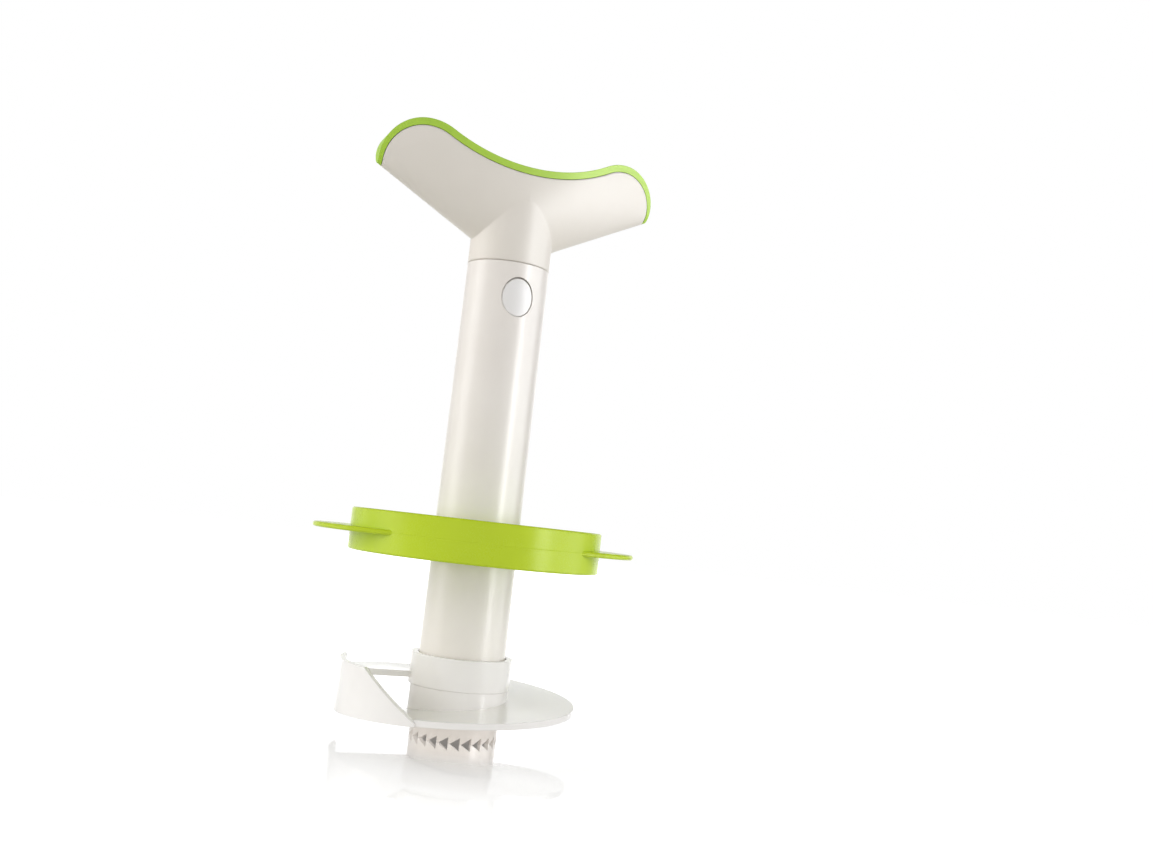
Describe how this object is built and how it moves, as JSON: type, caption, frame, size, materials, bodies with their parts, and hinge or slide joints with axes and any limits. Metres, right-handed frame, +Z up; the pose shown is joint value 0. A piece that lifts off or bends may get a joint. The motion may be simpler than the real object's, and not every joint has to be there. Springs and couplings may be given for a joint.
{
  "type": "fruit corer and slicer",
  "caption": "Upright twist-in fruit corer: toothed tube with a helical slicing blade, winged grip that lifts off at push buttons, and a sliding wedging ring.",
  "frame": {"origin": "on the tube's axis at the plane of the tooth tips, on which it stands", "axes": "+Z up along the tube towards the grip; -Y is the front, where one of the two buttons is; the grip's arms reach along +X and -X"},
  "size_m": [0.119, 0.0932, 0.2229],
  "materials": {
    "tube_plastic": "pearly white, slightly translucent",
    "blade_plastic": "white, polished",
    "grip_plastic": "warm white, satin",
    "grip_strip": "green, soft satin",
    "wedger_plastic": "lime green, semi-gloss",
    "button_plastic": "white, polished",
    "stem_plastic": "plain white moulding",
    "spring_steel": "stainless strip",
    "screw_steel": "zinc plated"
  },
  "bodies": {
    "corer": {"corer_tube": "tube_plastic", "slicing_blade": "blade_plastic"},
    "handle": {"handle_body": "grip_plastic", "grip_cap": "grip_strip", "handle_stem": "stem_plastic", "stem_screws": "screw_steel", "latch_spring": "spring_steel"},
    "wedging_ring": {"wedger": "wedger_plastic"},
    "front_button": {"button_front": "button_plastic"},
    "rear_button": {"button_rear": "button_plastic"}
  },
  "joints": [
    {"name": "handle_lift", "type": "slide", "parent": "corer", "child": "handle", "axis": [0, 0, 1], "range_m": [0, 0.045], "deforming": ["latch_spring"]},
    {"name": "wedger_slide", "type": "slide", "parent": "corer", "child": "wedging_ring", "axis": [0, 0, 1], "range_m": [-0.0343, 0.095]},
    {"name": "front_button_press", "type": "slide", "parent": "corer", "child": "front_button", "axis": [0, 1, 0], "range_m": [0, 0.002], "stiffness_N_per_m": 400, "springref_m": -0.001},
    {"name": "rear_button_press", "type": "slide", "parent": "corer", "child": "rear_button", "axis": [0, -1, 0], "range_m": [0, 0.002], "stiffness_N_per_m": 400, "springref_m": -0.001}
  ]
}
